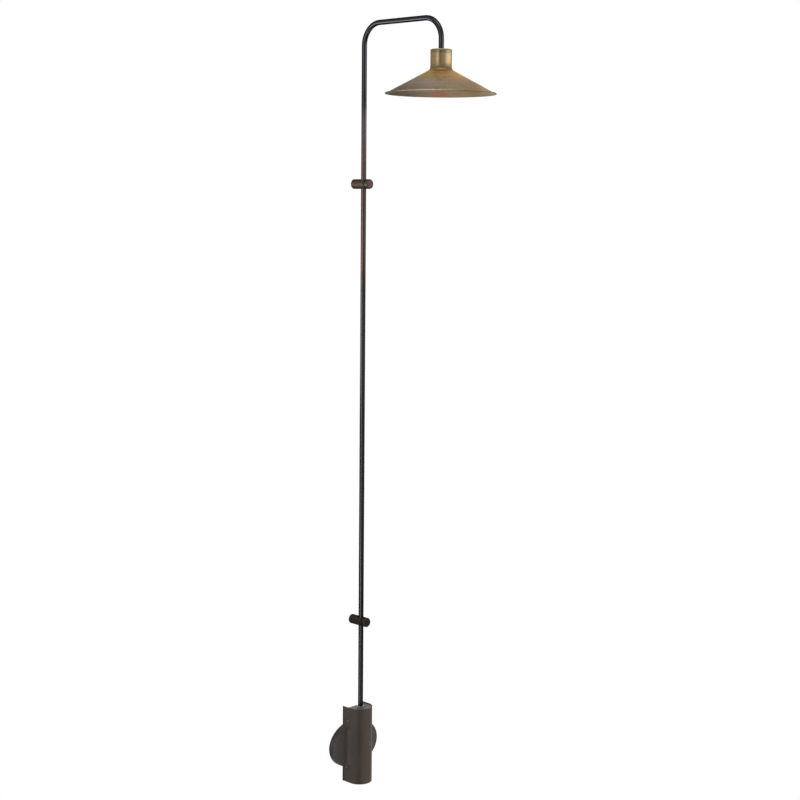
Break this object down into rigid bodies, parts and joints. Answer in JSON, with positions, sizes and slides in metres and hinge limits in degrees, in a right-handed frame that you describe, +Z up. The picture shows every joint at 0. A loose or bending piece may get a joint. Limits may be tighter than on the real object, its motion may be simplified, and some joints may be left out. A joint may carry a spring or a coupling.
{
  "type": "led wall light",
  "caption": "Tall wall light: thin bronze stem in a half-round driver housing and stand-off brackets, bent arm at the top with a flared brass shade",
  "frame": {"origin": "centre of the two slots of the mounting strap, on its back face, which is the middle of the wall plate's back on the wall plane", "axes": "+Z up along the stem, +Y into the wall, so the arm and shade stand out towards -Y, +X to the right for someone facing the wall"},
  "size_m": [0.244, 0.391, 1.7955],
  "materials": {
    "housing_bronze": "satin dark bronze finish",
    "burnished_steel": "burnished and darkened, satin",
    "black_screws": "black oxide, semi-gloss",
    "bracket_bronze": "satin dark bronze finish, slightly browner",
    "stem_bronze": "satin to gloss black bronze finish",
    "antique_brass": "spun and hand-brushed antique brass",
    "zinc_steel": "zinc plated, dull",
    "screw_steel": "nickel plated, bright",
    "cast_aluminium": "bare, fine blasted",
    "natural_nylon": "natural nylon, matte",
    "driver_case": "moulded polycarbonate, fine texture",
    "terminal_white": "moulded nylon, semi-gloss",
    "black_rubber": "matte",
    "board_white": "white solder mask",
    "led_phosphor": "silicone with phosphor",
    "reflector_metal": "vacuum-metallised, bright",
    "opal_plastic": "opal acrylic, satin",
    "trim_bronze": "satin dark bronze finish",
    "lead_jacket": "PVC, matte",
    "cable_jacket": "PVC, matte"
  },
  "bodies": {
    "wall_mount": {"canopy": "housing_bronze", "housing_shell": "housing_bronze", "top_plate": "burnished_steel", "bottom_plate": "burnished_steel", "stem_bushing": "burnished_steel", "upper_barrel": "bracket_bronze", "lower_barrel": "bracket_bronze", "crossbar": "zinc_steel", "chassis": "zinc_steel", "pivot_shelf": "zinc_steel", "bushing_nut": "zinc_steel", "upper_wall_boss": "zinc_steel", "lower_wall_boss": "zinc_steel", "side_screws": "black_screws", "ground_screw": "screw_steel", "mounting_screws": "screw_steel", "plate_rivets": "screw_steel", "shelf_screws": "screw_steel", "driver_screws": "screw_steel", "upper_pinch_screw": "screw_steel", "lower_pinch_screw": "screw_steel", "thrust_washer": "natural_nylon", "upper_liner": "natural_nylon", "lower_liner": "natural_nylon", "led_driver": "driver_case", "terminal_block": "terminal_white", "wire_grommet": "black_rubber", "live_lead": "lead_jacket", "neutral_lead": "lead_jacket", "driver_lead": "cable_jacket"},
    "swing_stem": {"stem_tube": "stem_bronze", "stem_coupler": "zinc_steel", "hook_tube": "stem_bronze", "stem_collar": "zinc_steel", "stop_pin": "screw_steel", "collar_screw": "screw_steel", "shade": "antique_brass", "shade_nipple": "zinc_steel", "lock_washer": "zinc_steel", "shade_locknut": "zinc_steel", "heat_sink": "cast_aluminium", "led_board": "board_white", "led_chips": "led_phosphor", "board_screws": "screw_steel", "reflector": "reflector_metal", "diffuser": "opal_plastic", "lamp_bezel": "trim_bronze", "lamp_cable": "cable_jacket"},
    "upper_clamp": {"upper_knob": "bracket_bronze", "upper_pad": "natural_nylon"},
    "lower_clamp": {"lower_knob": "bracket_bronze", "lower_pad": "natural_nylon"}
  },
  "joints": [
    {"name": "stem_swivel", "type": "hinge", "parent": "wall_mount", "child": "swing_stem", "pos_m": [0, -0.031, 0.0612], "axis": [0, 0, 1], "range_deg": [-65, 65]},
    {"name": "upper_knob_turn", "type": "hinge", "parent": "wall_mount", "child": "upper_clamp", "pos_m": [0, -0.047, 1.341], "axis": [0, -1, 0], "range_deg": [0, 360]},
    {"name": "lower_knob_turn", "type": "hinge", "parent": "wall_mount", "child": "lower_clamp", "pos_m": [0, -0.047, 0.308], "axis": [0, -1, 0], "range_deg": [0, 360]}
  ]
}
